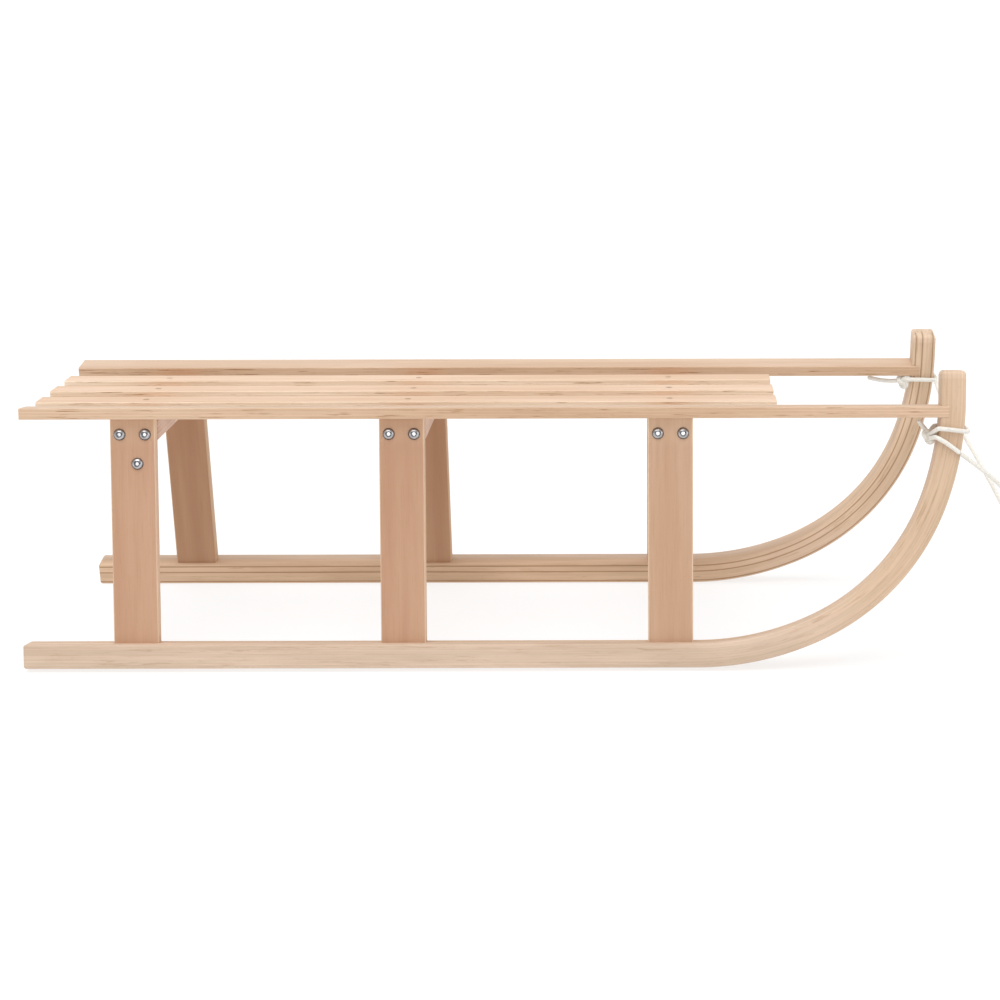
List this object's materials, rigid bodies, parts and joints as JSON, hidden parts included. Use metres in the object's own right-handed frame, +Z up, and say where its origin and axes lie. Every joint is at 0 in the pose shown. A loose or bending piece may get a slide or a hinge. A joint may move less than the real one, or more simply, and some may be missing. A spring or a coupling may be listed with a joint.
{
  "type": "wooden toboggan",
  "caption": "Rigid wooden sledge with upswept laminated runners, splayed legs, a slatted seat and a pull rope.",
  "frame": {"origin": "on the floor under the middle of the sledge, its rope left out", "axes": "+X forward to the upswept horns, +Y to the rider's left, +Z up"},
  "size_m": [1.185, 0.3774, 0.315],
  "materials": {
    "slat_plywood": "satin varnished birch plywood",
    "leg_plywood": "satin varnished plywood",
    "crossbar_wood": "satin varnished plywood",
    "laminated_runner": "satin varnished laminated wood",
    "bolt_steel": "bright zinc-plated steel",
    "dowel_wood": "plain",
    "rope": "white braided cord"
  },
  "bodies": {
    "root": {"slat_left": "slat_plywood", "slat_middle": "slat_plywood", "slat_right": "slat_plywood", "side_rail_left": "slat_plywood", "side_rail_right": "slat_plywood", "leg_front_left": "leg_plywood", "leg_front_right": "leg_plywood", "leg_middle_left": "leg_plywood", "leg_middle_right": "leg_plywood", "leg_rear_left": "leg_plywood", "leg_rear_right": "leg_plywood", "crossbar_front": "crossbar_wood", "crossbar_middle": "crossbar_wood", "crossbar_rear": "crossbar_wood", "runner_left": "laminated_runner", "runner_right": "laminated_runner", "crossbar_bolts": "bolt_steel", "rear_leg_bolts": "bolt_steel", "slat_screws": "bolt_steel", "runner_screws": "bolt_steel", "rail_end_screws": "bolt_steel", "rail_dowels": "dowel_wood", "rope_hitch_right": "rope", "rope_hitch_left": "rope", "rope_lead_right": "rope", "rope_lead_left": "rope", "rope_coil": "rope"}
  },
  "joints": []
}
